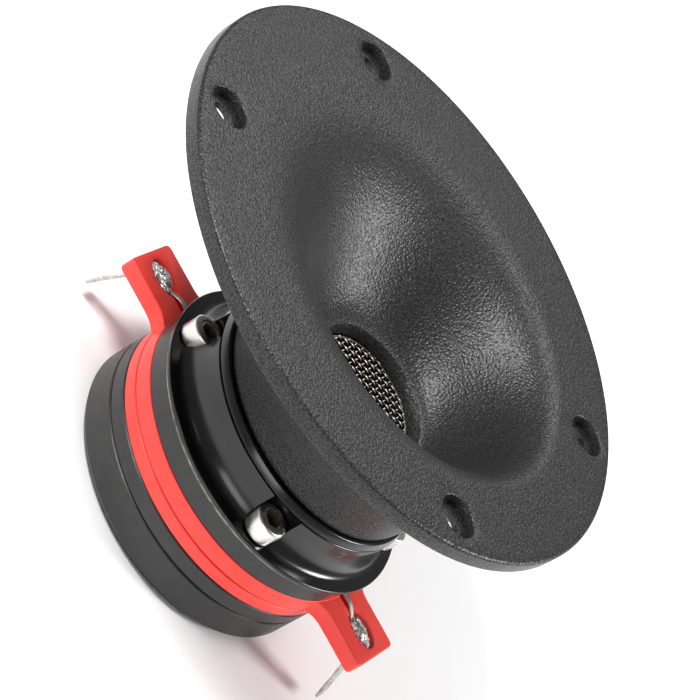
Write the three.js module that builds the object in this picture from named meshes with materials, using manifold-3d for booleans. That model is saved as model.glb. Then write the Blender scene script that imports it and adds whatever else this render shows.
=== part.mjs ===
// Car horn tweeter: a small compression driver behind an off-centre horn with a
// round mounting flange. Millimetres. The origin is the centre of the driver's
// rear face, +Z runs along the driver's axis to the horn's mouth, and +Y points
// from the driver's axis to the centre of the flange.
import * as THREE from 'three';
import { mergeVertices } from 'three/addons/utils/BufferGeometryUtils.js';
import Module from 'manifold-3d';

const wasm = await Module();
wasm.setup();

// ---- driving dimensions ----
const DRIVER_R = 30.2; // all the stacked rings share this radius
const CUP_TOP = 7.9;
const PLATE_Z = [8.1, 11.5];
const REAR_FRAME_Z = [11.7, 14.4];
const FRONT_FRAME_Z = [14.6, 18.2];
const COVER_Z = [18.4, 31.8];
const COVER_RIM_R = 30.95;
const SHELF = { z: 24, r: 28.3 }; // flat ledge the screw heads stand on
const COVE_R = 26.3; // concave wall above the shelf
const COLLAR = { r: 26.3, topR: 25.7, z: [32, 33.6], seatR: 24.2, seatZ: 33.1 };
const HORN_Z = [33.85, 64.4]; // foot of the neck, front of the flange

const FLANGE_R = 56;
const FLANGE_T = 3.4;
const FLANGE_Y = 13.6; // flange centre, off the driver's axis
const MOUTH_R = 42; // where the flat front face turns into the flare
const THROAT_EDGE = { r: 13.8, z: 44.8 };
// How soft the lip is, how flat the bowl ends at the throat, how soon it leaves the flange centre.
const FLARE = { lip: 2.8, floor: 2.1, shift: 0.82 };
const NECK_FOOT_R = 25;
const NECK_TOP = { r: 40.5, y: 9.1 };
const HOLE_CIRCLE_R = 49.1;
const HOLE_ANGLE = 35; // each flange hole from the long symmetry line, degrees
const HOLE_R = 2.1;
const HOLE_MOUTH = { r: 4.1, depth: 2.2 };

const SCREW_CIRCLE_R = 26.5;
const SCREW_PHASE = 26.2; // first cap screw, degrees from +X
const SCREW_HEAD = { r: 3.5, z: [24.3, 28.3], hexFlats: 3, hexDepth: 2.1 };
const SHANK_R = 1.8;
const SHANK_END_Z = 3.2;
const SCREW_HOLE_R = 2.15;
const POCKET_R = 3.95;

const TAB = { halfWidth: 6.8, end: 43.2, z: [14.65, 18.1] };
const CUP_OVAL = { y: 37.4, rx: 2.7, ry: 4, floor: 16.3 };
const LUG = { y: 40.5, t: 0.6, halfWidth: 2.4, neckHalf: 1.5, tip: [44.5, 2.7] };
const STRIP = { halfWidth: 0.65, t: 0.3 };

const ROUND = 48; // facets round the outer rings
const FINE = 32; // facets round the inner parts

// ---- helpers ----
const rad = THREE.MathUtils.degToRad;
const polar = (r, deg) => [r * Math.cos(rad(deg)), r * Math.sin(rad(deg))];

function toSolid(geometry) {
  const g = geometry.clone();
  g.deleteAttribute('normal');
  g.deleteAttribute('uv');
  const m = mergeVertices(g, 1e-4);
  return new wasm.Manifold(new wasm.Mesh({
    numProp: 3,
    vertProperties: new Float32Array(m.attributes.position.array),
    triVerts: new Uint32Array(m.index.array),
  }));
}

function toGeometry(solid) {
  const m = solid.getMesh();
  const g = new THREE.BufferGeometry();
  g.setAttribute('position', new THREE.BufferAttribute(new Float32Array(m.vertProperties), 3));
  g.setIndex(new THREE.BufferAttribute(new Uint32Array(m.triVerts), 1));
  g.computeVertexNormals();
  return g;
}

// Turns a closed [r, z] profile (or one that starts and ends on the axis) round Z.
function turned(profile, facets = ROUND, closed = true) {
  const loop = closed ? [...profile, profile[0]] : profile;
  const points = loop.map(([r, z]) => new THREE.Vector2(r, z));
  return new THREE.LatheGeometry(points, facets).rotateX(Math.PI / 2);
}

// A turned loop of [r, z, y] rings, each ring's centre moved along Y.
function turnedOffCentre(rings, facets) {
  const g = turned(rings, facets);
  const count = rings.length + 1;
  const p = g.attributes.position;
  for (let i = 0; i < p.count; i++) {
    const ring = rings[(i % count) % rings.length];
    p.setY(i, p.getY(i) + ring[2]);
  }
  return g;
}

// A plain washer between two radii and two heights.
const washer = (r0, r1, z0, z1, facets) => turned([[r0, z0], [r1, z0], [r1, z1], [r0, z1]], facets);
const disc = (r, z0, z1, facets) => turned([[0, z0], [r, z0], [r, z1], [0, z1]], facets, false);

function drill(r, x, y, z0, z1, facets = 12) {
  const g = new THREE.CylinderGeometry(r, r, z1 - z0, facets).rotateX(Math.PI / 2);
  return toSolid(g.translate(x, y, (z0 + z1) / 2));
}

function block(x, y, z) {
  const g = new THREE.BoxGeometry(x[1] - x[0], y[1] - y[0], z[1] - z[0]);
  return toSolid(g.translate((x[0] + x[1]) / 2, (y[0] + y[1]) / 2, (z[0] + z[1]) / 2));
}

function extruded(points, depth) {
  const shape = new THREE.Shape(points.map(([x, y]) => new THREE.Vector2(x, y)));
  return new THREE.ExtrudeGeometry(shape, { depth, bevelEnabled: false });
}

// An outline in the YZ plane, extruded along X about x = 0.
function sideExtruded(points, width) {
  const g = extruded(points, width);
  const turn = new THREE.Matrix4().makeBasis(
    new THREE.Vector3(0, 1, 0),
    new THREE.Vector3(0, 0, 1),
    new THREE.Vector3(1, 0, 0),
  );
  return g.applyMatrix4(turn).translate(-width / 2, 0, 0);
}

const screwSpots = [0, 1, 2, 3].map((k) => polar(SCREW_CIRCLE_R, SCREW_PHASE + 90 * k));

function withScrewHoles(solid, r, z0, z1) {
  return screwSpots.reduce((s, [x, y]) => s.subtract(drill(r, x, y, z0, z1, 10)), solid);
}

// ---- materials ----
const paint = (color, roughness, metalness) =>
  () => new THREE.MeshStandardMaterial({ color, roughness, metalness });
const blackGrain = paint(0x2b2c2c, 0.72, 0);
const blackGloss = paint(0x0b0b0b, 0.16, 0);
const blackSatin = paint(0x191a1a, 0.32, 0.2);
const redPlastic = paint(0xe3382c, 0.42, 0);
const stainless = paint(0xc9c5c0, 0.2, 1);
const steel = paint(0x8d8f92, 0.4, 1);
const tin = paint(0xcfc8bf, 0.35, 1);
const solderGrey = paint(0x9b9a96, 0.3, 1);
const copper = paint(0xb4653a, 0.35, 1);
const nickel = paint(0xb9bbbd, 0.25, 1);
const foam = paint(0x2f3033, 0.95, 0);
const polymer = paint(0x5c4f32, 0.5, 0);
const silk = paint(0x23221f, 0.8, 0);

const tweeter = new THREE.Group();

function add(name, shape, material) {
  const geometry = shape.isBufferGeometry ? shape : toGeometry(shape);
  const mesh = new THREE.Mesh(geometry, material());
  mesh.name = name;
  tweeter.add(mesh);
  return mesh;
}

// ---- horn: neck, flange and flare in one casting ----
function flareRing(h) {
  const depth = HORN_Z[1] - THROAT_EDGE.z;
  const drop = depth * (1 - (1 - h ** FLARE.lip) ** FLARE.floor);
  const r = THREE.MathUtils.lerp(MOUTH_R, THROAT_EDGE.r, h);
  return [r, HORN_Z[1] - drop, FLANGE_Y * (1 - h ** FLARE.shift)];
}

function neckRing(t) {
  const open = (1 - t) ** 1.3;
  const r = THREE.MathUtils.lerp(NECK_FOOT_R, NECK_TOP.r, open);
  const top = HORN_Z[1] - FLANGE_T;
  return [r, THREE.MathUtils.lerp(top, HORN_Z[0], t), NECK_TOP.y * open];
}

function hornSolid() {
  const front = HORN_Z[1];
  const rear = front - FLANGE_T;
  const rings = [
    [12, HORN_Z[0], 0],
    ...[1, 0.82, 0.6, 0.38, 0.18, 0].map(neckRing),
    [FLANGE_R, rear, FLANGE_Y],
    [FLANGE_R, front - 1.1, FLANGE_Y],
    [FLANGE_R - 0.35, front - 0.35, FLANGE_Y],
    [FLANGE_R - 1.1, front, FLANGE_Y],
    ...[0, 0.15, 0.26, 0.36, 0.45, 0.54, 0.63, 0.72, 0.81, 0.9, 1].map(flareRing),
    [12.95, 42.7, 0],
    [12.9, 41.9, 0],
    [12, 41.9, 0],
  ];
  let horn = toSolid(turnedOffCentre(rings, 60));
  for (const deg of [90 - HOLE_ANGLE, 90 + HOLE_ANGLE, 270 - HOLE_ANGLE, 270 + HOLE_ANGLE]) {
    const [x, y] = polar(HOLE_CIRCLE_R, deg);
    horn = horn.subtract(drill(HOLE_R, x, y + FLANGE_Y, rear - 1, front + 1, 16));
    const mouth = drill(HOLE_MOUTH.r, x, y + FLANGE_Y, front - HOLE_MOUTH.depth, front + 1, 20);
    horn = horn.subtract(mouth);
  }
  return horn;
}
add('horn', hornSolid(), blackGrain);
add('horn_gasket', washer(14, 24, COLLAR.seatZ + 0.15, HORN_Z[0] - 0.15, FINE), foam);

// ---- collar: glossy ring that carries the horn's foot and holds the gasket in its seat ----
function collarGeometry() {
  const { r, topR, z, seatR, seatZ } = COLLAR;
  return turned([
    [13, z[0]], [r, z[0]], [topR, z[1] - 0.2], [topR - 0.3, z[1]],
    [seatR, z[1]], [seatR, seatZ], [13, seatZ],
  ]);
}
add('horn_collar', collarGeometry(), blackGloss);

// Pierced disc on the ledge at the bottom of the flare.
function meshSolid() {
  let mesh = toSolid(disc(12.6, 42.1, 42.45, FINE));
  const pitch = 4.5;
  for (let i = -2; i <= 2; i++) {
    for (let j = -2; j <= 2; j++) {
      if (Math.abs(i + j) > 2) continue;
      const x = pitch * (i + j / 2);
      const y = pitch * j * Math.sin(rad(60));
      mesh = mesh.subtract(drill(1.85, x, y, 41, 44, 6));
    }
  }
  return mesh;
}
add('throat_mesh', meshSolid(), steel);

// ---- cover: skirt with a proud rim, a shelf for the screw heads and a hollow sweep up ----
function coverSolid() {
  const [base, top] = COVER_Z;
  const cove = [[27.55, 0.5], [26.95, 1.5], [26.6, 3.1], [COVE_R, 5.4]];
  let cover = toSolid(turned([
    [15.9, base], [DRIVER_R, base], [DRIVER_R, 22.5], [COVER_RIM_R, 23.2],
    [COVER_RIM_R, SHELF.z - 0.35], [COVER_RIM_R - 0.35, SHELF.z], [SHELF.r, SHELF.z],
    ...cove.map(([r, rise]) => [r, SHELF.z + rise]),
    [COVE_R, top], [12.6, top], [12.6, SHELF.z], [15.9, SHELF.z],
  ]));
  for (const [x, y] of screwSpots) {
    cover = cover.subtract(drill(POCKET_R, x, y, SHELF.z, top + 2, 20));
    cover = cover.subtract(drill(SCREW_HOLE_R, x, y, base - 1, top, 10));
  }
  for (const s of [1, -1]) {
    const notch = s > 0 ? [27.2, 31] : [-31, -27.2];
    const groove = s > 0 ? [15, 31] : [-31, -15];
    cover = cover.subtract(block([-8.6, 8.6], notch, [base - 1, 22.2]));
    cover = cover.subtract(block([-1.1, 1.1], groove, [base - 1, 19.1]));
  }
  return cover;
}
add('driver_cover', coverSolid(), blackGloss);

// Bullet on three struts inside a seating ring.
function phasePlugSolid() {
  const bullet = turned([
    [0, 19.9], [3, 19.7], [6, 19.05], [8.5, 18.1], [8.8, 19.2], [7.6, 22.4],
    [5.2, 26.8], [2.6, 30.6], [0, 33.2],
  ], 24, false);
  const ring = toSolid(washer(12.7, 15.6, 18.7, 23.8, FINE));
  let plug = toSolid(bullet).add(ring);
  for (const deg of [30, 150, 270]) {
    const strut = new THREE.BoxGeometry(7, 1.4, 3).translate(10.3, 0, 21.1).rotateZ(rad(deg));
    plug = plug.add(toSolid(strut));
  }
  return plug;
}
add('phase_plug', phasePlugSolid(), polymer);

// ---- red frame: two rings that clamp the surround, the front one with the tabs ----
function tabSolid() {
  const w = TAB.halfWidth;
  const e = TAB.end;
  const depth = TAB.z[1] - TAB.z[0];
  const body = toSolid(extruded([
    [-9.2, 27.6], [-7.4, 30.7], [-w, 32.4], [-w, e - 1], [1 - w, e],
    [w - 1, e], [w, e - 1], [w, 32.4], [7.4, 30.7], [9.2, 27.6],
  ], depth).translate(0, 0, TAB.z[0]));
  const oval = new THREE.Shape();
  oval.absellipse(0, CUP_OVAL.y, CUP_OVAL.rx, CUP_OVAL.ry, 0, 2 * Math.PI);
  const well = new THREE.ExtrudeGeometry(oval, { depth: 4, bevelEnabled: false, curveSegments: 20 });
  return {
    body,
    cuts: [
      toSolid(well.translate(0, 0, CUP_OVAL.floor)),
      block([-0.95, 0.95], [29, 35], [16.6, 19]),
      block([-1.75, 1.75], [40.2, 41.4], [TAB.z[0] - 1, 17]),
    ],
  };
}

function frontFrameSolid() {
  const [z0, z1] = FRONT_FRAME_Z;
  let frame = toSolid(turned([
    [19.3, z0], [DRIVER_R, z0], [DRIVER_R, z1], [16.6, z1], [16.6, 15.25], [19.3, 15.25],
  ]));
  const cuts = [];
  for (const turn of [0, 180]) {
    const tab = tabSolid();
    frame = frame.add(tab.body.rotate([0, 0, turn]));
    cuts.push(...tab.cuts.map((c) => c.rotate([0, 0, turn])));
  }
  frame = cuts.reduce((f, c) => f.subtract(c), frame);
  return withScrewHoles(frame, SCREW_HOLE_R, z0 - 1, z1 + 1);
}
add('frame_front', frontFrameSolid(), redPlastic);

const rearFrame = toSolid(washer(15.5, DRIVER_R, ...REAR_FRAME_Z));
add('frame_rear', withScrewHoles(rearFrame, SCREW_HOLE_R, 11, 15), redPlastic);

// ---- diaphragm: dome, former and winding move as one; the surround flexes ----
const domeArc = (r, lift) => 15.3 - 19.7 + lift + Math.sqrt(23.3 ** 2 - r ** 2);
const outerArc = [0, 3, 6, 8.6, 10.7, 12.45].map((r) => [r, domeArc(r, 0)]);
const innerArc = [12.4, 10.6, 8.5, 6, 3, 0].map((r) => [r, domeArc(r, -0.3)]);
const domeProfile = [...innerArc.reverse(), ...outerArc.reverse()];
add('diaphragm_dome', turned(domeProfile, FINE, false), silk);
add('coil_former', washer(12.15, 12.4, 8.2, 14.85, FINE), polymer);
add('voice_coil', washer(12.5, 13, 8, 11.9, FINE), copper);

function surroundGeometry() {
  const arc = (r, z, degs) => degs.map((d) => {
    const [dr, dz] = polar(r, d);
    return [14.6 + dr, z + dz];
  });
  return turned([
    [12.65, 14.65],
    ...arc(1.2, 14.65, [180, 150, 120, 90, 60, 30, 0]),
    [19, 14.65],
    [19, 14.95],
    ...arc(1.5, 14.95, [0, 30, 60, 90, 120, 150, 180]),
    [12.65, 14.95],
  ], FINE);
}
add('surround', surroundGeometry(), silk);

// ---- magnet system ----
const topPlate = toSolid(turned([
  [13.5, PLATE_Z[0]], [DRIVER_R, PLATE_Z[0]], [DRIVER_R, PLATE_Z[1]], [13.5, PLATE_Z[1]],
]));
add('top_plate', withScrewHoles(topPlate, SCREW_HOLE_R, 8, 12), blackSatin);
add('pole_plate', disc(11.75, 7.8, 11.5, FINE), nickel);
add('magnet', disc(11.4, 2.75, 7.6, FINE), nickel);
add('shorting_ring', washer(11.9, 14.3, 2.75, 4.9, FINE), copper);
add('damping_pad', disc(8, 11.7, 12.9, FINE), foam);

const cup = toSolid(turned([
  [0, 0], [28.9, 0], [29.8, 0.4], [DRIVER_R, 1.3], [DRIVER_R, CUP_TOP - 0.3],
  [DRIVER_R - 0.3, CUP_TOP], [14.6, CUP_TOP], [14.6, 2.5], [0, 2.5],
], ROUND, false));
add('back_cup', withScrewHoles(cup, SCREW_HOLE_R, 2.8, 9), blackSatin);

// ---- cap screws ----
function screwSolid() {
  const [z0, z1] = SCREW_HEAD.z;
  const body = toSolid(turned([
    [0, SHANK_END_Z], [SHANK_R - 0.4, SHANK_END_Z], [SHANK_R, SHANK_END_Z + 0.5], [SHANK_R, z0],
    [SCREW_HEAD.r, z0], [SCREW_HEAD.r, z1 - 0.4], [SCREW_HEAD.r - 0.4, z1], [0, z1],
  ], 16, false));
  const socketR = SCREW_HEAD.hexFlats / Math.sqrt(3);
  return body.subtract(drill(socketR, 0, 0, z1 - SCREW_HEAD.hexDepth, z1 + 1, 6));
}
const screwShape = toGeometry(screwSolid());
screwSpots.forEach(([x, y], k) => {
  add(`cap_screw_${k + 1}`, screwShape.clone(), stainless).position.set(x, y, 0);
});

// ---- terminals: lug through each tab, soldered to the lead strip ----
function lugSolid() {
  const { y, t, halfWidth, neckHalf, tip } = LUG;
  const blade = toSolid(sideExtruded([
    [y, 16.8], [y, 13.8], [tip[0], tip[1]], [tip[0] + t, tip[1]], [y + t, 13.9], [y + t, 16.8],
  ], 2 * halfWidth));
  const shoulder = block([neckHalf, halfWidth + 1], [y - 2, y + 4], [13.2, 18]);
  const eye = toSolid(new THREE.CylinderGeometry(0.8, 0.8, 8, 10).translate(0, 43.5, 5.6));
  return blade.subtract(shoulder).subtract(shoulder.mirror([1, 0, 0])).subtract(eye);
}

function solderGeometry() {
  const g = mergeVertices(new THREE.SphereGeometry(1, 10, 7));
  const p = g.attributes.position;
  for (let i = 0; i < p.count; i++) {
    const [x, y, z] = [p.getX(i), p.getY(i), p.getZ(i)];
    const lump = 1 + 0.1 * Math.sin(5 * x + 3 * y) + 0.08 * Math.cos(6 * z - 4 * y);
    p.setXYZ(i, 1.5 * x * lump, 2.3 * y * lump, 0.55 * z * lump);
  }
  return g.translate(0, 37.7, 17.65);
}

const stripProfile = [
  [38.5, 16.5], [34.6, 16.7], [32.6, 18.5], [20, 18.5],
  [20, 18.5 + STRIP.t], [32.7, 18.5 + STRIP.t], [34.8, 17], [38.5, 16.8],
];

[0, 180].forEach((turn, k) => {
  const side = new THREE.Group();
  side.rotation.z = rad(turn);
  tweeter.add(side);
  side.add(add(`terminal_lug_${k + 1}`, lugSolid(), tin));
  side.add(add(`lead_strip_${k + 1}`, sideExtruded(stripProfile, 2 * STRIP.halfWidth), tin));
  side.add(add(`solder_joint_${k + 1}`, solderGeometry(), solderGrey));
});

export default tweeter;
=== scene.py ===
import math

import bmesh
import bpy
from mathutils import Matrix, Vector, noise


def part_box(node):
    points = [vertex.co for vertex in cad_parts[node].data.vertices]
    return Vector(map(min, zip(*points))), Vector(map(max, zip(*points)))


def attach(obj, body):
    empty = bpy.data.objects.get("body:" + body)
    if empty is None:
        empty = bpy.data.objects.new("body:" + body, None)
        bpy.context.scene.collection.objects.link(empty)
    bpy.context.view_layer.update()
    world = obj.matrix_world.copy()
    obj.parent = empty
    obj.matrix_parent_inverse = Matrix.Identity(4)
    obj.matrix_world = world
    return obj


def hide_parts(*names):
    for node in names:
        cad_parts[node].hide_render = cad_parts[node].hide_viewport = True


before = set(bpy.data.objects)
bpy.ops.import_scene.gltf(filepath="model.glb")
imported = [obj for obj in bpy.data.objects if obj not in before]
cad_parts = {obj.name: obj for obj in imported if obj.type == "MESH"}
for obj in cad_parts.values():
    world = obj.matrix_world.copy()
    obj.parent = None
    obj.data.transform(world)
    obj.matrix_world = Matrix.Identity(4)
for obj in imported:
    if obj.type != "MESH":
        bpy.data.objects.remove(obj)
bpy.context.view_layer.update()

MM = 0.001
HOUSING = "housing"
DIAPHRAGM = "diaphragm"

# ---------------------------------------------------------------- sizes from the frame


def span(node):
    """The lowest and highest corner of a CAD node, in millimetres."""
    low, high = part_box(node)
    return low / MM, high / MM


HORN_LOW, HORN_HIGH = span("horn")
FLANGE_R = (HORN_HIGH.x - HORN_LOW.x) / 2
FLANGE_Y = (HORN_HIGH.y + HORN_LOW.y) / 2
FRONT_Z = HORN_HIGH.z
FOOT_Z = HORN_LOW.z
DRIVER_R = span("back_cup")[1].x
COVER_LOW, COVER_HIGH = span("driver_cover")
COLLAR_LOW, COLLAR_HIGH = span("horn_collar")
FRAME_LOW, FRAME_HIGH = span("frame_front")
TAB_END = FRAME_HIGH.y
SCREWS = [f"cap_screw_{k}" for k in (1, 2, 3, 4)]
SCREW_R = (span(SCREWS[0])[1].x - span(SCREWS[0])[0].x) / 2
SCREW_TOP = span(SCREWS[0])[1].z

# ---------------------------------------------------------------- sizes of the finer detail, in millimetres

FLANGE_T = 3.4
FLANGE_EDGE = 0.7  # rounding of the flange's front edge
MOUTH_R = 42
THROAT_R = 13.8
THROAT_Z = 44.8
FLARE_LIP = 2.8
FLARE_FLOOR = 2.1
FLARE_SHIFT = 0.82
NECK_FOOT_R = 25
NECK_TOP_R = 40.5
NECK_TOP_Y = 9.1
HOLE_CIRCLE = 49.1
HOLE_ANGLES = (55, 125, 235, 305)
HOLE_R = 2.1
HOLE_MOUTH_R = 4.1
HOLE_MOUTH_DEPTH = 2.2
POCKET_R = 3.75
SKIRT_TOP = 22.5
RIM_R = 30.95
SHELF_Z = 24
COVE_R = 26.3
PLUG_SEAT_R = 15.9  # seat of the phase plug in the cover
PLUG_BORE_R = 12.6
SHELF_R = 29
SWEEP_RISE = 6
COLLAR_TOP_R = 25.7
HEAD_LENGTH = 4
SHANK_R = 1.8
SCREW_BORE_R = SHANK_R + 0.35
HEX_FLATS = 3
MESH_PITCH = 1.3
WIRE_R = 0.17
MESH_R = 12.55
TAB_HALF = 6.8
WELL_Y = 37.4  # solder well in each tab
WELL_RX = 2.7
WELL_RY = 4
GASKET_SEAT_R = 24.2
DOME_R = 12.45
DOME_SPHERE_R = 23.3
DOME_CENTRE_Z = 15.3 - 19.7
SURROUND_R = 14.6  # middle of the roll
SURROUND_FROM = 12.65
SURROUND_TO = 19
ROUND = 192  # steps round the large turned pieces


# ---------------------------------------------------------------- mesh tools


def make(name, verts, faces, sharp=32):
    """A new object from millimetre vertices, smooth but for edges sharper than the given angle."""
    mesh = bpy.data.meshes.new(name)
    mesh.from_pydata([Vector(v) * MM for v in verts], [], faces)
    obj = bpy.data.objects.new(name, mesh)
    bpy.context.scene.collection.objects.link(obj)
    tidy(obj, sharp)
    return obj


def tidy(obj, sharp=32):
    bm = bmesh.new()
    bm.from_mesh(obj.data)
    bmesh.ops.remove_doubles(bm, verts=bm.verts, dist=1e-7)
    bmesh.ops.recalc_face_normals(bm, faces=bm.faces)
    bm.to_mesh(obj.data)
    bm.free()
    obj.data.polygons.foreach_set("use_smooth", [True] * len(obj.data.polygons))
    obj.data.set_sharp_from_angle(angle=math.radians(sharp))


def settle(obj):
    """Applies an object's modifiers."""
    graph = bpy.context.evaluated_depsgraph_get()
    mesh = bpy.data.meshes.new_from_object(obj.evaluated_get(graph))
    obj.modifiers.clear()
    obj.data = mesh
    mesh.name = obj.name
    return obj


def combine(obj, others, operation):
    """Cuts the other solids from obj, or joins them to it, and removes them."""
    for other in others:
        step = obj.modifiers.new("combine", "BOOLEAN")
        step.operation = operation
        step.solver = "EXACT"
        step.object = other
    settle(obj)
    for other in others:
        bpy.data.objects.remove(other)
    return obj


def cut(obj, others, sharp=32):
    combine(obj, others, "DIFFERENCE")
    tidy(obj, sharp)
    return obj


def bevel(obj, width, segments=3, angle=35):
    step = obj.modifiers.new("bevel", "BEVEL")
    step.width = width * MM
    step.segments = segments
    step.limit_method = "ANGLE"
    step.angle_limit = math.radians(angle)
    settle(obj)
    tidy(obj)
    return obj


def rounded(corners, steps=5):
    """A profile from (r, z) or (r, z, rounding) corners, each rounding drawn as an arc."""
    n = len(corners)
    points = []
    for i, corner in enumerate(corners):
        here = Vector(corner[:2])
        size = corner[2] if len(corner) > 2 else 0
        if not size:
            points.append(tuple(here))
            continue
        a = Vector(corners[i - 1][:2]) - here
        b = Vector(corners[(i + 1) % n][:2]) - here
        half = a.angle(b) / 2
        reach = min(size / math.tan(half), 0.49 * a.length, 0.49 * b.length)
        radius = reach * math.tan(half)
        centre = here + (a.normalized() + b.normalized()).normalized() * (radius / math.sin(half))
        start = here + a.normalized() * reach - centre
        end = here + b.normalized() * reach - centre
        for k in range(steps + 1):
            t = k / steps
            spoke = start.lerp(end, t).normalized() * radius
            points.append(tuple(centre + spoke))
    return points


def lathe(name, profile, steps=ROUND, closed=True, sharp=32):
    """Turns (r, z) or (r, z, y) points round Z.

    A closed profile makes a ring, an open one starts and ends on the axis.
    """
    verts = []
    rings = []
    for point in profile:
        r, z = point[:2]
        y = point[2] if len(point) > 2 else 0
        if r < 1e-6:
            rings.append([len(verts)] * steps)
            verts.append((0, y, z))
            continue
        rings.append(range(len(verts), len(verts) + steps))
        for k in range(steps):
            a = math.tau * k / steps
            verts.append((r * math.cos(a), y + r * math.sin(a), z))
    faces = []
    pairs = list(zip(rings, rings[1:]))
    if closed:
        pairs.append((rings[-1], rings[0]))
    for low, high in pairs:
        for k in range(steps):
            loop = [low[k], low[(k + 1) % steps], high[(k + 1) % steps], high[k]]
            face = list(dict.fromkeys(loop))
            if len(face) > 2:
                faces.append(face)
    return make(name, verts, faces, sharp)


def prism(name, outline, z0, z1, sharp=32):
    """An (x, y) outline extruded between two heights."""
    n = len(outline)
    verts = [(x, y, z0) for x, y in outline] + [(x, y, z1) for x, y in outline]
    faces = [list(range(n))[::-1], list(range(n, 2 * n))]
    faces += [[k, (k + 1) % n, n + (k + 1) % n, n + k] for k in range(n)]
    return make(name, verts, faces, sharp)


def place(obj, x=0, y=0, z=0, turn=0):
    """Turns the mesh about Z and moves it, in millimetres, keeping the object at the origin."""
    move = Matrix.Translation(Vector((x, y, z)) * MM) @ Matrix.Rotation(math.radians(turn), 4, "Z")
    obj.data.transform(move)
    return obj


def smoothstep(a, b, x):
    t = min(max((x - a) / (b - a), 0), 1)
    return t * t * (3 - 2 * t)


def polar(r, degrees):
    a = math.radians(degrees)
    return r * math.cos(a), r * math.sin(a)


# ---------------------------------------------------------------- materials


class Shader:
    """A principled material with object-space textures, built up one line at a time."""

    def __init__(self, name, colour, roughness, metallic=0.0, **sockets):
        self.material = bpy.data.materials.new(name)
        self.material.use_nodes = True
        self.nodes = self.material.node_tree.nodes
        self.links = self.material.node_tree.links
        self.bsdf = self.nodes["Principled BSDF"]
        self.bsdf.inputs["Base Color"].default_value = (*colour, 1)
        self.bsdf.inputs["Roughness"].default_value = roughness
        self.bsdf.inputs["Metallic"].default_value = metallic
        for key, value in sockets.items():
            self.bsdf.inputs[key.replace("_", " ").title()].default_value = value
        self.place = self.nodes.new("ShaderNodeTexCoord").outputs["Object"]
        self.normal = None

    def join(self, a, b):
        self.links.new(a, b)

    def noise(self, size, detail=3.0, rough=0.5, stretch=(1, 1, 1)):
        """Noise with features of about the given size in millimetres."""
        place = self.place
        if stretch != (1, 1, 1):
            mapping = self.nodes.new("ShaderNodeMapping")
            mapping.inputs["Scale"].default_value = stretch
            self.join(place, mapping.inputs["Vector"])
            place = mapping.outputs["Vector"]
        node = self.nodes.new("ShaderNodeTexNoise")
        node.inputs["Scale"].default_value = 1 / (size * MM)
        node.inputs["Detail"].default_value = detail
        node.inputs["Roughness"].default_value = rough
        self.join(place, node.inputs["Vector"])
        return node.outputs["Fac"]

    def cells(self, size, smooth=0.6):
        node = self.nodes.new("ShaderNodeTexVoronoi")
        node.feature = "SMOOTH_F1"
        node.inputs["Scale"].default_value = 1 / (size * MM)
        node.inputs["Smoothness"].default_value = smooth
        self.join(self.place, node.inputs["Vector"])
        return node.outputs["Distance"]

    def ramp(self, value, stops):
        """Maps a 0-1 value through (position, colour or grey) stops."""
        node = self.nodes.new("ShaderNodeValToRGB")
        elements = node.color_ramp.elements
        while len(elements) < len(stops):
            elements.new(0.5)
        for element, (position, colour) in zip(elements, stops):
            grey = isinstance(colour, (int, float))
            element.position = position
            element.color = (colour, colour, colour, 1) if grey else (*colour, 1)
        self.join(value, node.inputs["Fac"])
        return node.outputs["Color"]

    def bump(self, height, strength, distance):
        """Adds a bump whose full height is the given distance in millimetres."""
        node = self.nodes.new("ShaderNodeBump")
        node.inputs["Strength"].default_value = strength
        node.inputs["Distance"].default_value = distance * MM
        self.join(height, node.inputs["Height"])
        if self.normal is not None:
            self.join(self.normal, node.inputs["Normal"])
        self.normal = node.outputs["Normal"]
        self.join(self.normal, self.bsdf.inputs["Normal"])
        return self

    def colour(self, socket):
        self.join(socket, self.bsdf.inputs["Base Color"])
        return self

    def rough(self, socket):
        self.join(socket, self.bsdf.inputs["Roughness"])
        return self


def horn_material():
    """Black powder coat with a coarse leathery grain over a finer one."""
    s = Shader("horn_powder_coat", (0.03, 0.031, 0.031), 0.4)
    s.bump(s.ramp(s.cells(0.6, 0.4), [(0.1, 1), (0.6, 0)]), 0.7, 0.09)
    s.bump(s.noise(0.36, 2.0), 0.7, 0.09)
    s.colour(s.ramp(s.noise(0.3, 3.0), [(0.36, (0.006, 0.006, 0.006)), (0.66, (0.024, 0.0245, 0.0245))]))
    s.join(s.ramp(s.noise(0.3, 3.0), [(0.36, 0.22), (0.66, 0.58)]), s.bsdf.inputs["Specular IOR Level"])
    return s.material


def gloss_material():
    s = Shader("cover_gloss_black", (0.006, 0.006, 0.0065), 0.2)
    s.rough(s.ramp(s.noise(6, 3.0), [(0.3, 0.17), (0.7, 0.25)]))
    s.bump(s.noise(9, 2.0), 0.12, 0.05)
    return s.material


def satin_material():
    s = Shader("ring_satin_black", (0.022, 0.022, 0.022), 0.42)
    s.rough(s.ramp(s.noise(0.8, 3.0), [(0.3, 0.38), (0.7, 0.5)]))
    s.bump(s.noise(0.25, 3.0), 0.2, 0.02)
    s.colour(s.ramp(s.noise(2.5, 4.0), [(0.3, (0.016, 0.016, 0.016)), (0.7, (0.026, 0.026, 0.025))]))
    return s.material


def chamfer_highlight_material():
    # painted highlight: a light, mottled metallic colour that stands in for the light the thin rim chamfer
    # catches
    s = Shader("chamfer_painted_highlight", (0.3, 0.29, 0.28), 0.35, 0.8)
    s.colour(s.ramp(s.noise(1.6, 4.0), [(0.35, (0.1, 0.095, 0.09)), (0.65, (0.42, 0.4, 0.38))]))
    return s.material


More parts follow.
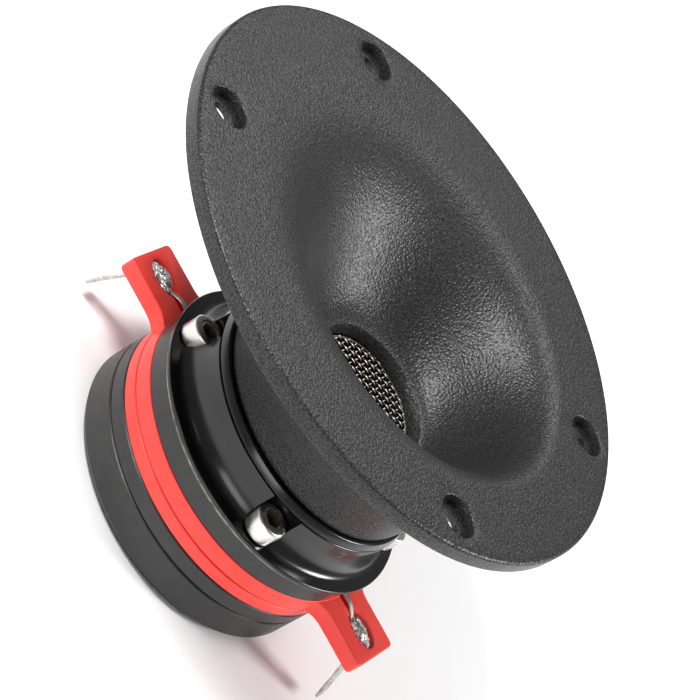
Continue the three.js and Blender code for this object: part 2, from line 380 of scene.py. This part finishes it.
def red_material():
    s = Shader("red_moulded_plastic", (0.86, 0.05, 0.035), 0.42)
    s.colour(s.ramp(s.noise(5, 3.0), [(0.3, (0.90, 0.045, 0.033)), (0.7, (0.96, 0.058, 0.043))]))
    s.rough(s.ramp(s.noise(1.4, 3.0), [(0.3, 0.38), (0.7, 0.5)]))
    s.bump(s.noise(0.4, 2.0), 0.12, 0.03)
    return s.material


def steel_material():
    s = Shader("bright_stainless", (0.72, 0.69, 0.66), 0.2, 1.0)
    s.rough(s.ramp(s.noise(0.9, 3.0), [(0.3, 0.26), (0.7, 0.42)]))
    s.bump(s.noise(1.1, 2.0), 0.15, 0.03)
    return s.material


def socket_shade_material():
    # painted shade: a dark brown colour for the inside of the hex socket, standing in for the shade in the
    # recess
    s = Shader("socket_painted_shade", (0.05, 0.035, 0.025), 0.5, 0.6)
    s.colour(s.ramp(s.noise(0.5, 3.0), [(0.3, (0.05, 0.033, 0.023)), (0.7, (0.16, 0.115, 0.08))]))
    return s.material


def mesh_light_and_shade_material(middle, half):
    """Wire with a painted highlight only where it crosses over its neighbour, and painted shade on its
    lower parts below.
    """
    s = Shader("woven_wire_painted_light", (0.3, 0.27, 0.23), 0.35, 0.85)
    axes = s.nodes.new("ShaderNodeSeparateXYZ")
    s.join(s.place, axes.inputs["Vector"])
    height = s.nodes.new("ShaderNodeMapRange")
    height.inputs["From Min"].default_value = (middle - half) * MM
    height.inputs["From Max"].default_value = (middle + half) * MM
    s.join(axes.outputs["Z"], height.inputs["Value"])
    # painted light set by height: near black low in the weave as painted shade, light on the crests as a
    # painted highlight
    s.colour(s.ramp(height.outputs["Result"], [(0.72, (0.012, 0.011, 0.01)), (0.86, (0.6, 0.54, 0.46))]))
    return s.material


def tin_material():
    s = Shader("tin_plate", (0.72, 0.69, 0.65), 0.42, 0.9)
    s.colour(s.ramp(s.noise(1.2, 4.0), [(0.3, (0.34, 0.32, 0.3)), (0.7, (0.66, 0.64, 0.6))]))
    s.rough(s.ramp(s.noise(0.7, 3.0), [(0.3, 0.32), (0.7, 0.55)]))
    s.bump(s.noise(0.8, 3.0), 0.3, 0.05)
    return s.material


def solder_material():
    s = Shader("solder", (0.6, 0.59, 0.57), 0.3, 1.0)
    s.colour(s.ramp(s.noise(0.9, 4.0, 0.6), [(0.32, (0.3, 0.28, 0.26)), (0.5, (0.86, 0.85, 0.83))]))
    s.rough(s.ramp(s.noise(0.6, 3.0), [(0.35, 0.18), (0.65, 0.5)]))
    s.bump(s.noise(0.45, 4.0, 0.6), 0.7, 0.12)
    return s.material


def silk_material():
    s = Shader("coated_silk", (0.03, 0.029, 0.027), 0.65)
    s.bump(s.noise(0.2, 2.0), 0.4, 0.03)
    s.colour(s.ramp(s.noise(0.25, 2.0), [(0.3, (0.022, 0.021, 0.019)), (0.7, (0.045, 0.043, 0.04))]))
    return s.material


def copper_material():
    s = Shader("copper", (0.8, 0.36, 0.18), 0.32, 1.0)
    s.colour(s.ramp(s.noise(1.0, 3.0), [(0.3, (0.65, 0.27, 0.13)), (0.7, (0.85, 0.42, 0.24))]))
    s.bump(s.noise(0.3, 1.0, 0.5, (0.05, 0.05, 1)), 0.5, 0.04)
    return s.material


def nickel_material():
    s = Shader("nickel_plate", (0.66, 0.64, 0.6), 0.25, 1.0)
    s.rough(s.ramp(s.noise(1.5, 3.0), [(0.3, 0.2), (0.7, 0.34)]))
    return s.material


def foam_material():
    s = Shader("foam", (0.03, 0.03, 0.032), 0.95)
    s.bump(s.cells(0.5, 0.3), 0.8, 0.15)
    s.colour(s.ramp(s.noise(0.5, 2.0), [(0.3, (0.02, 0.02, 0.022)), (0.7, (0.045, 0.045, 0.048))]))
    return s.material


def amber_material():
    s = Shader("amber_former", (0.36, 0.16, 0.03), 0.35)
    s.colour(s.ramp(s.noise(2.0, 3.0), [(0.3, (0.3, 0.13, 0.025)), (0.7, (0.42, 0.2, 0.045))]))
    return s.material


def plug_material():
    s = Shader("moulded_black", (0.03, 0.03, 0.03), 0.5)
    s.bump(s.noise(0.5, 3.0), 0.3, 0.04)
    s.colour(s.ramp(s.noise(1.5, 3.0), [(0.3, (0.022, 0.022, 0.022)), (0.7, (0.04, 0.04, 0.04))]))
    return s.material


# ---------------------------------------------------------------- horn


def flare_ring(h):
    """The flare from the mouth, h = 0, to the throat, h = 1: radius, height and centre."""
    drop = (FRONT_Z - THROAT_Z) * (1 - (1 - h**FLARE_LIP) ** FLARE_FLOOR)
    return (MOUTH_R + (THROAT_R - MOUTH_R) * h, FRONT_Z - drop, FLANGE_Y * (1 - h**FLARE_SHIFT))


def neck_ring(t):
    wide = (1 - t) ** 1.3
    r = NECK_FOOT_R + (NECK_TOP_R - NECK_FOOT_R) * wide
    top = FRONT_Z - FLANGE_T
    return (r, top + (FOOT_Z - top) * t, NECK_TOP_Y * wide)


def horn_piece():
    rear = FRONT_Z - FLANGE_T
    rings = [(12, FOOT_Z, 0), (NECK_FOOT_R - 0.25, FOOT_Z, 0), (NECK_FOOT_R, FOOT_Z + 0.25, 0)]
    rings += [neck_ring(1 - k / 26) for k in range(1, 26)]
    # a small fillet where the neck meets the back of the flange
    rings += [(NECK_TOP_R + 0.15, rear - 0.25, NECK_TOP_Y), (NECK_TOP_R + 0.8, rear, NECK_TOP_Y)]
    rings += [(48, rear, FLANGE_Y), (FLANGE_R - 0.3, rear, FLANGE_Y)]
    edge = [(FLANGE_R - 0.1, rear + 0.08), (FLANGE_R, rear + 0.3)]
    for k in range(7):
        dr, dz = polar(FLANGE_EDGE, 15 * k)
        edge.append((FLANGE_R - FLANGE_EDGE + dr, FRONT_Z - FLANGE_EDGE + dz))
    rings += [(r, z, FLANGE_Y) for r, z in edge]
    rings += [(r, FRONT_Z, FLANGE_Y) for r in (53, 49, 45)]
    rings += [flare_ring(h) for h in [0.02 * k for k in range(46)] + [0.93, 0.96, 0.98, 1]]
    rings += [(13.2, 43.9, 0), (12.95, 42.9, 0), (12.9, 41.9, 0), (12, 41.9, 0)]
    horn = lathe("horn_shell", rings, 240)
    cutters = []
    for deg in HOLE_ANGLES:
        x, y = polar(HOLE_CIRCLE, deg)
        floor = FRONT_Z - HOLE_MOUTH_DEPTH
        profile = [
            (0, rear - 1), (HOLE_R, rear - 1), (HOLE_R, floor), (HOLE_MOUTH_R, floor, 0.2),
            (HOLE_MOUTH_R, FRONT_Z - 0.25), (HOLE_MOUTH_R + 0.08, FRONT_Z - 0.1),
            (HOLE_MOUTH_R + 0.25, FRONT_Z), (HOLE_MOUTH_R + 0.25, FRONT_Z + 1), (0, FRONT_Z + 1),
        ]
        cutters.append(place(lathe("hole", [p[:2] for p in profile], 48, False), x, y + FLANGE_Y))
    return cut(horn, cutters, 40)


# ---------------------------------------------------------------- driver


def screw_spots():
    for name in SCREWS:
        low, high = span(name)
        yield name, (low.x + high.x) / 2, (low.y + high.y) / 2


def cover_piece():
    """Satin skirt, proud rim whose chamfer is given a painted highlight in build, glossy shelf for the
    screw heads and a hollow sweep up to the collar.
    """
    base = COVER_LOW.z
    top = COVER_HIGH.z
    turns = [math.radians(3.75 * k) for k in range(25)]
    reach = SHELF_R - COVE_R
    sweep = [(SHELF_R - reach * math.sin(a), SHELF_Z + SWEEP_RISE * (1 - math.cos(a))) for a in turns]
    profile = rounded([
        (PLUG_SEAT_R, base), (DRIVER_R, base, 0.15), (DRIVER_R, SKIRT_TOP, 0.3),
        (RIM_R, SKIRT_TOP + 0.7, 0.15), (RIM_R, SHELF_Z, 0.3), *sweep, (COVE_R, top, 0.3),
        (PLUG_BORE_R, top), (PLUG_BORE_R, SHELF_Z), (PLUG_SEAT_R, SHELF_Z),
    ], 12)
    cover = lathe("cover_shell", profile, 288, sharp=28)
    cutters = []
    floor = SHELF_Z + 0.01
    for _, x, y in screw_spots():
        pocket = rounded([(0, floor), (POCKET_R, floor, 0.4), (POCKET_R, top + 2), (0, top + 2)])
        cutters.append(place(lathe("pocket", pocket, 64, False), x, y))
        hole = [(0, base - 1), (SCREW_BORE_R, base - 1), (SCREW_BORE_R, floor + 0.5), (0, floor + 0.5)]
        cutters.append(place(lathe("bore", hole, 32, False), x, y))
    for turn in (0, 180):
        notch = [(-8.6, 27.2), (8.6, 27.2), (8.6, 32), (-8.6, 32)]
        cutters.append(place(prism("notch", notch, base - 1, base + 3.8), turn=turn))
        groove = [(-1.1, 15), (1.1, 15), (1.1, 32), (-1.1, 32)]
        cutters.append(place(prism("groove", groove, base - 1, base + 0.7), turn=turn))
    return cut(cover, cutters, 28)


def collar_piece():
    z0, z1 = COLLAR_LOW.z, COLLAR_HIGH.z
    r = COLLAR_HIGH.x
    seat = z1 - 0.5
    return lathe("collar_ring", rounded([
        (13, z0), (r, z0, 0.15), (COLLAR_TOP_R, z1, 0.3),
        (GASKET_SEAT_R, z1, 0.1), (GASKET_SEAT_R, seat), (13, seat),
    ]), 240)


def ring_piece(name, node, bore, chamfer):
    """A plain ring whose outer edges have a small chamfer."""
    low, high = span(node)
    r = high.x
    c = chamfer
    return lathe(name, rounded([
        (bore, low.z, 0.1), (r - c, low.z), (r, low.z + c),
        (r, high.z - c), (r - c, high.z), (bore, high.z, 0.1),
    ]), 240)


def bored(obj, z0, z1):
    cutters = []
    for _, x, y in screw_spots():
        hole = [(0, z0), (SCREW_BORE_R, z0), (SCREW_BORE_R, z1), (0, z1)]
        cutters.append(place(lathe("bore", hole, 32, False), x, y))
    return cut(obj, cutters)


def cup_piece():
    high = span("back_cup")[1]
    r = DRIVER_R
    cup = lathe("cup_shell", rounded([
        (0, 0), (9, 0), (9.2, 0.12), (9.4, 0), (r - 1.25, 0, 0.5), (r - 0.25, 1.25, 0.6), (r, 1.6, 0.2),
        (r, high.z - 0.25, 0.05), (r - 0.25, high.z), (14.6, high.z), (14.6, 2.5), (0, 2.5),
    ]), 240, closed=False)
    return bored(cup, 3, high.z + 1)


def tab_outline(w, e):
    """Half flares into the ring, straight sides, rounded outer corners."""
    right = [(9.6, 27.2), (8.3, 29.6), (7.4, 31), (w + 0.1, 32.3), (w, 33.4)]
    corner = [(w - 1.1 + polar(1.1, a)[0], e - 1.1 + polar(1.1, a)[1]) for a in (0, 22, 45, 68, 90)]
    half = right + corner
    return half + [(-x, y) for x, y in reversed(half)]


def well_ring(z, grow):
    """An oval round the solder well, larger than it by the given amount."""
    turns = [math.tau * k / 48 for k in range(48)]
    return [((WELL_RX + grow) * math.cos(a), WELL_Y + (WELL_RY + grow) * math.sin(a), z) for a in turns]


def frame_front_piece():
    low, high = FRAME_LOW, FRAME_HIGH
    bore = 16.6
    ring = lathe("frame_front_shell", rounded([
        (19.3, low.z), (DRIVER_R, low.z, 0.2), (DRIVER_R, high.z, 0.2), (bore, high.z, 0.1),
        (bore, low.z + 0.65), (19.3, low.z + 0.65),
    ]), 240)
    tabs = []
    cutters = []
    z0, z1 = low.z + 0.05, high.z - 0.1
    for turn in (0, 180):
        tab = prism("tab", tab_outline(TAB_HALF, TAB_END), z0, z1)
        tabs.append(place(bevel(tab, 0.28, 3, 50), turn=turn))
        steps = [(16.3, -0.5), (16.45, -0.2), (16.8, 0), (z1 - 0.3, 0.05)]
        steps += [(z1 - 0.1, 0.15), (z1 + 0.02, 0.4), (z1 + 1, 0.4)]
        well = [well_ring(z, grow) for z, grow in steps]
        cutters.append(place(stack("well", well), turn=turn))
        channel = [(-0.95, 29), (0.95, 29), (0.95, 35), (-0.95, 35)]
        cutters.append(place(prism("channel", channel, 16.6, z1 + 1), turn=turn))
        slit = [(-1.75, 40.2), (1.75, 40.2), (1.75, 41.4), (-1.75, 41.4)]
        cutters.append(place(prism("slit", slit, low.z - 1, 17), turn=turn))
    combine(ring, tabs, "UNION")
    for _, x, y in screw_spots():
        hole = [(0, low.z - 1), (SCREW_BORE_R, low.z - 1), (SCREW_BORE_R, high.z + 1), (0, high.z + 1)]
        cutters.append(place(lathe("bore", hole, 32, False), x, y))
    return cut(ring, cutters, 30)


def stack(name, rings, sharp=32):
    """A closed body through rings of equal point count, capped at both ends."""
    n = len(rings[0])
    verts = [p for ring in rings for p in ring]
    faces = [list(range(n))[::-1], [len(verts) - n + k for k in range(n)]]
    for i in range(len(rings) - 1):
        for k in range(n):
            a, b = i * n, (i + 1) * n
            faces.append([a + k, a + (k + 1) % n, b + (k + 1) % n, b + k])
    return make(name, verts, faces, sharp)


def screw_piece(name, x, y):
    """Socket cap screw: rounded head, hex socket with a countersunk mouth, chamfered shank."""
    low, high = span(name)
    under = high.z - HEAD_LENGTH
    r = SCREW_R
    body = lathe(name + "_body", rounded([
        (0, low.z), (SHANK_R - 0.4, low.z, 0.1), (SHANK_R, low.z + 0.5), (SHANK_R, under), (r, under, 0.25),
        (r, high.z, 0.55), (2.3, high.z, 0.1), (2.05, high.z - 0.18), (0, high.z - 0.18),
    ]), 72, closed=False)
    corner = HEX_FLATS / math.sqrt(3)
    hexagon = [polar(corner, 60 * k + 12) for k in range(6)]
    cut(body, [prism("hex", hexagon, high.z - 2.3, high.z + 1)], 30)
    return place(body, x, y)


# ---------------------------------------------------------------- mesh, terminals and solder


def woven_mesh():
    """Plain-weave wire disc: sinuous wires both ways, inside a thin clamped rim."""
    low, high = span("throat_mesh")
    middle = (low.z + high.z) / 2
    verts = []
    faces = []
    sides = 6
    per_pitch = 6
    count = int(MESH_R / MESH_PITCH)
    for along_x in (True, False):
        for i in range(-count, count + 1):
            across = i * MESH_PITCH
            half = math.sqrt(max(MESH_R**2 - across**2, 0))
            if half < 1.5:
                continue
            steps = int(2 * half / MESH_PITCH * per_pitch)
            start = len(verts)
            for k in range(steps + 1):
                s = -half + 2 * half * k / steps
                phase = math.cos(math.pi * s / MESH_PITCH) * (1 if (i % 2) == along_x else -1)
                z = middle + WIRE_R * 0.85 * phase
                for c in range(sides):
                    a = math.tau * c / sides
                    u = across + WIRE_R * math.cos(a)
                    w = z + WIRE_R * math.sin(a)
                    verts.append((s, u, w) if along_x else (u, s, w))
            rows = [[start + k * sides + c for c in range(sides)] for k in range(steps + 1)]
            for a, b in zip(rows, rows[1:]):
                faces += [[a[c], a[(c + 1) % sides], b[(c + 1) % sides], b[c]] for c in range(sides)]
            faces += [rows[0][::-1], rows[-1]]
    return make("throat_weave", verts, faces, 60)


def mesh_rim():
    low, high = span("throat_mesh")
    return lathe("throat_mesh_rim", rounded([
        (MESH_R - 0.5, low.z + 0.02, 0.05), (MESH_R + 0.05, low.z + 0.02, 0.05),
        (MESH_R + 0.05, high.z, 0.1), (MESH_R - 0.5, high.z, 0.1),
    ], 3), 96)


def ribbon(name, path, half_width, thickness, sharp=40):
    """A flat strip along (y, z) points.

    half_width may be a number or a function of the share along the path.
    """
    width_at = half_width if callable(half_width) else lambda share: half_width
    n = len(path)
    rings = []
    for i, (y, z) in enumerate(path):
        a = Vector(path[max(i - 1, 0)])
        b = Vector(path[min(i + 1, n - 1)])
        along = (b - a).normalized()
        side = Vector((-along.y, along.x)) * thickness / 2
        w = width_at(i / (n - 1))
        e = min(0.12, thickness / 3)
        k = 1 - 2 * e / thickness
        loop = [(e - w, -1), (w - e, -1), (w, -k), (w, k), (w - e, 1), (e - w, 1), (-w, k), (-w, -k)]
        ring = [(u, y + side.x * v, z + side.y * v) for u, v in loop]
        rings.append(ring)
    return stack(name, rings, sharp)


def spline(points, steps=8):
    """A smooth open line through 2-D points."""
    pts = [Vector(p) for p in points]
    pts = [2 * pts[0] - pts[1], *pts, 2 * pts[-1] - pts[-2]]
    out = []
    for i in range(1, len(pts) - 2):
        p0, p1, p2, p3 = pts[i - 1:i + 3]
        for k in range(steps):
            t = k / steps
            out.append(tuple(0.5 * (2 * p1 + (p2 - p0) * t + (2 * p0 - 5 * p1 + 4 * p2 - p3) * t**2
                                    + (3 * p1 - p0 - 3 * p2 + p3) * t**3)))
    out.append(tuple(pts[-2]))
    return out


def lug_piece(name, node, turn):
    """Solder lug: a broad root under the tab, a blade that leans out, an eye near its end."""
    low, high = span(node)
    tip_y = max(abs(low.y), abs(high.y))
    foot = low.z
    path = spline([
        (40.8, 17.4), (40.8, 15.4), (40.95, 14.1), (42.1, 10.4), (43.4, 6.5), (tip_y - 0.45, foot + 0.15),
    ])

    def width(share):
        neck = 1.5 + 0.9 * smoothstep(0.22, 0.27, share)
        return neck - 0.55 * smoothstep(0.62, 0.66, share) - 0.35 * smoothstep(0.96, 1, share)

    lug = ribbon(name, path, width, 0.55)
    eye = lathe("eye", [(0, -4), (0.75, -4), (0.75, 4), (0, 4)], 24, False)
    across_blade = Matrix.Rotation(math.radians(74), 4, "X")
    eye.data.transform(Matrix.Translation(Vector((0, 43.4, 5.9)) * MM) @ across_blade)
    return place(cut(lug, [eye], 40), turn=turn)


def strip_piece(name, turn):
    """Lead strip from the solder, up out of the well and under the cover."""
    path = spline([
        (38.2, 16.95), (36.4, 17.05), (35, 17.35), (33.6, 18.1),
        (32.2, 18.62), (30.4, 18.66), (26, 18.66), (20.1, 18.66),
    ])
    return place(ribbon(name, path, 0.62, 0.28), turn=turn)


def solder_piece(name, turn, seed):
    """A lumpy, faceted fillet of solder over the lug's end, with a pit and a drawn-out peak."""
    bm = bmesh.new()
    bmesh.ops.create_icosphere(bm, subdivisions=5, radius=1)
    shift = Vector((seed * 3.1, seed * 1.7, seed * 5.3))
    for v in bm.verts:
        d = v.co.normalized()
        swell = 1 + 0.34 * noise.noise(d * 1.5 + shift) + 0.2 * noise.noise(d * 3.4 + shift)
        facet = noise.voronoi(d * 2.6 + shift)[0][0]
        swell += 0.16 * (0.4 - facet)
        swell += 0.07 * noise.noise(d * 9 + shift)
        v.co = Vector((1.95 * d.x * swell, 3.15 * d.y * swell, 1.3 * d.z * swell))
    for v in bm.verts:
        v.co += Vector((0, 37.75, 17.1))
        v.co.x = max(min(v.co.x, 2.55), -2.55)
        v.co.z = min(max(v.co.z, 16.34), 18.55)
        v.co *= MM
    mesh = bpy.data.meshes.new(name)
    bm.to_mesh(mesh)
    bm.free()
    obj = bpy.data.objects.new(name, mesh)
    bpy.context.scene.collection.objects.link(obj)
    tidy(obj, 45)
    return place(obj, turn=turn)


# ---------------------------------------------------------------- inner parts


def phase_plug_piece():
    high = span("phase_plug")[1]
    bullet = lathe("phase_bullet", rounded([
        (0, 19.9), (3, 19.7), (6, 19.05), (8.5, 18.1, 0.2), (8.8, 19.2, 0.6),
        (7.6, 22.4, 6), (5.2, 26.8, 8), (2.6, 30.6, 4), (0, high.z),
    ], 6), 96, False)
    ring = lathe("plug_seat", rounded([
        (12.7, 18.7, 0.2), (15.6, 18.7, 0.2), (15.6, 23.8, 0.2), (12.7, 23.8, 0.4),
    ]), 120)
    struts = []
    for deg in (30, 150, 270):
        outline = [(6.8, -0.7), (13.8, -0.7), (13.8, 0.7), (6.8, 0.7)]
        strut = bevel(prism("strut", outline, 19.6, 22.6), 0.25, 2)
        struts.append(place(strut, turn=deg))
    plug = combine(bullet, [ring, *struts], "UNION")
    tidy(plug)
    plug.name = "phase_plug_body"
    return plug


def dome_height(r, lift):
    return DOME_CENTRE_Z + lift + math.sqrt(DOME_SPHERE_R**2 - r**2)


def dome_piece():
    radii = [DOME_R * k / 20 for k in range(21)]
    outer = [(r, dome_height(r, 0)) for r in radii]
    inner = [(min(r, 12.4), dome_height(min(r, 12.4), -0.3)) for r in reversed(radii)]
    return lathe("dome_skin", outer + inner, 120, False)


def surround_piece():
    roll = [(SURROUND_R + polar(1.2, a)[0], 14.65 + polar(1.2, a)[1]) for a in range(180, -1, -12)]
    back = [(SURROUND_R + polar(1.5, a)[0], 14.95 + polar(1.5, a)[1]) for a in range(0, 181, 12)]
    start = [(SURROUND_FROM, 14.65), *roll, (SURROUND_TO, 14.65)]
    end = [(SURROUND_TO, 14.95), *back, (SURROUND_FROM, 14.95)]
    return lathe("surround_roll", start + end, 120)


def coil_piece():
    """Round wire wound on the former."""
    low, high = span("voice_coil")
    turns = 14
    pitch = (high.z - low.z) / turns
    outer = []
    for k in range(turns):
        z = low.z + pitch * (k + 0.5)
        for a in (-1.3, -0.65, 0, 0.65, 1.3):
            outer.append((12.86 + 0.14 * math.cos(a), z + pitch * 0.48 * math.sin(a)))
    return lathe("coil_winding", [(12.5, low.z), *outer, (12.5, high.z)], 96)


def plain_ring(name, node, bore, rounding, steps=120):
    low, high = span(node)
    r = high.x
    c = rounding
    profile = rounded([(bore, low.z, c), (r, low.z, c), (r, high.z, c), (bore, high.z, c)], 4)
    return lathe(name, profile, steps)


def plain_disc(name, node, rounding, steps=120):
    low, high = span(node)
    r = high.x
    profile = rounded([(0, low.z), (r, low.z, rounding), (r, high.z, rounding), (0, high.z)], 4)
    return lathe(name, profile, steps, False)


# ---------------------------------------------------------------- assembly


def finish_piece(obj, body, slot, material, *nodes):
    obj.data.materials.clear()
    obj.data.materials.append(material)
    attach(obj, body)
    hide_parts(*nodes)
    return obj


def retint(obj, material, test, axis=(0, 0), reach=100):
    """Gives another material to faces near an axis.

    The test is passed each face's centre (r, z) about that axis, in millimetres.
    """
    obj.data.materials.append(material)
    for face in obj.data.polygons:
        c = face.center / MM
        r = math.hypot(c.x - axis[0], c.y - axis[1])
        if r < reach and test(r, c.z):
            face.material_index = len(obj.data.materials) - 1
    return obj


def build():
    horn = horn_material()
    gloss = gloss_material()
    satin = satin_material()
    red = red_material()
    steel = steel_material()
    tin = tin_material()
    solder = solder_material()
    silk = silk_material()
    copper = copper_material()
    nickel = nickel_material()
    foam = foam_material()
    amber = amber_material()
    mesh_low, mesh_high = span("throat_mesh")
    wire = mesh_light_and_shade_material((mesh_low.z + mesh_high.z) / 2, 2 * WIRE_R)
    chamfer = chamfer_highlight_material()
    socket = socket_shade_material()
    black = plug_material()
    finish_piece(horn_piece(), HOUSING, "horn_grain", horn, "horn")
    cover = finish_piece(cover_piece(), HOUSING, "cover_gloss", gloss, "driver_cover")
    retint(cover, satin, lambda r, z: r > 29.5 and z < SKIRT_TOP)
    # painted highlight on the thin chamfer round the cover's rim
    retint(cover, chamfer, lambda r, z: r > 30.1 and SKIRT_TOP - 0.15 < z < SKIRT_TOP + 0.85)
    finish_piece(collar_piece(), HOUSING, "cover_gloss", gloss, "horn_collar")
    finish_piece(plain_ring("gasket_ring", "horn_gasket", 14, 0.1), HOUSING, "foam", foam, "horn_gasket")
    finish_piece(frame_front_piece(), HOUSING, "red_plastic", red, "frame_front")
    rear = bored(ring_piece("frame_rear_shell", "frame_rear", 15.5, 0.15), 11, 15)
    finish_piece(rear, HOUSING, "red_plastic", red, "frame_rear")
    plate = bored(ring_piece("top_plate_ring", "top_plate", 13.5, 0.25), 7, 12.5)
    finish_piece(plate, HOUSING, "ring_black", satin, "top_plate")
    finish_piece(cup_piece(), HOUSING, "ring_black", satin, "back_cup")
    for name, x, y in screw_spots():
        screw = finish_piece(screw_piece(name, x, y), HOUSING, "stainless", steel, name)
        # painted shade inside each hex socket, between its floor and just below the head's top
        retint(screw, socket, lambda r, z: SCREW_TOP - 2.5 < z < SCREW_TOP - 0.2, (x, y), 2.05)
    finish_piece(woven_mesh(), HOUSING, "wire_mesh", wire, "throat_mesh")
    finish_piece(mesh_rim(), HOUSING, "wire_mesh", wire)
    for k, turn in ((1, 0), (2, 180)):
        lug = lug_piece(f"lug_blade_{k}", f"terminal_lug_{k}", turn)
        finish_piece(lug, HOUSING, "tinned", tin, f"terminal_lug_{k}")
        finish_piece(strip_piece(f"lead_ribbon_{k}", turn), HOUSING, "tinned", tin, f"lead_strip_{k}")
        blob = solder_piece(f"solder_blob_{k}", turn, k)
        finish_piece(blob, HOUSING, "solder", solder, f"solder_joint_{k}")
    finish_piece(phase_plug_piece(), HOUSING, "phase_plug", black, "phase_plug")
    finish_piece(dome_piece(), DIAPHRAGM, "diaphragm", silk, "diaphragm_dome")
    former = plain_ring("former_tube", "coil_former", 12.15, 0.05)
    finish_piece(former, DIAPHRAGM, "former", amber, "coil_former")
    finish_piece(coil_piece(), DIAPHRAGM, "copper_wire", copper, "voice_coil")
    finish_piece(surround_piece(), HOUSING, "surround", silk, "surround")
    finish_piece(plain_disc("pole_disc", "pole_plate", 0.3), HOUSING, "nickel", nickel, "pole_plate")
    finish_piece(plain_disc("magnet_disc", "magnet", 0.5), HOUSING, "nickel", nickel, "magnet")
    sleeve = plain_ring("shorting_sleeve", "shorting_ring", 11.9, 0.2)
    finish_piece(sleeve, HOUSING, "copper_wire", copper, "shorting_ring")
    finish_piece(plain_disc("damping_disc", "damping_pad", 0.3), HOUSING, "foam", foam, "damping_pad")


# ---------------------------------------------------------------- camera, light and floor

CAMERA_AT = Vector((-501.5, -11.1, 337.1))
TARGET = Vector((2.41, 8.5, 43.8))
CAMERA_ROLL = 59.68
LENS = 163.94


def camera_frame():
    """Right, up and back vectors of the camera."""
    back = (CAMERA_AT - TARGET).normalized()
    level = Vector((0, 0, 1)).cross(back).normalized()
    up = back.cross(level)
    a = math.radians(CAMERA_ROLL)
    right = level * math.cos(a) + up * math.sin(a)
    return right, back.cross(right), back


def add_camera():
    right, up, back = camera_frame()
    data = bpy.data.cameras.new("camera")
    data.lens = LENS
    data.sensor_width = 36
    data.clip_start = 0.01
    data.clip_end = 20
    camera = bpy.data.objects.new("camera", data)
    bpy.context.scene.collection.objects.link(camera)
    turn = Matrix((right, up, back)).transposed().to_4x4()
    camera.matrix_world = Matrix.Translation(CAMERA_AT * MM) @ turn
    bpy.context.scene.camera = camera


def add_light(name, azimuth, elevation, distance, size, power):
    """A soft box facing the object from a direction in the part's own frame, in degrees and metres."""
    across, height = polar(distance, elevation)
    x, y = polar(across, azimuth)
    at = TARGET * MM + Vector((x, y, height))
    data = bpy.data.lights.new(name, "AREA")
    data.shape = "RECTANGLE"
    data.size, data.size_y = size
    data.energy = power
    light = bpy.data.objects.new(name, data)
    facing = (TARGET * MM - at).to_track_quat("-Z", "Y").to_matrix().to_4x4()
    light.matrix_world = Matrix.Translation(at) @ facing
    bpy.context.scene.collection.objects.link(light)


def add_stage():
    world = bpy.data.worlds.new("studio")
    bpy.context.scene.world = world
    world.use_nodes = True
    world.node_tree.nodes["Background"].inputs["Color"].default_value = (1, 1, 1, 1)
    world.node_tree.nodes["Background"].inputs["Strength"].default_value = 0.25
    half = 3000
    corners = [(x * half, y * half, -0.05) for x, y in ((-1, -1), (1, -1), (1, 1), (-1, 1))]
    floor = make("floor", corners, [[0, 1, 2, 3]])
    white = Shader("floor_white", (0.9, 0.9, 0.9), 0.8)
    floor.data.materials.append(white.material)
    add_light("back_right", 300, 32, 0.8, (0.22, 0.22), 5)
    add_light("left", 128, 52, 0.8, (0.26, 0.26), 9)
    add_light("behind", 18, 50, 0.8, (0.26, 0.22), 2)
    add_light("front", 195, 14, 0.8, (0.45, 0.25), 1.5)


bpy.context.scene.view_settings.view_transform = "Standard"
add_camera()
add_stage()
build()
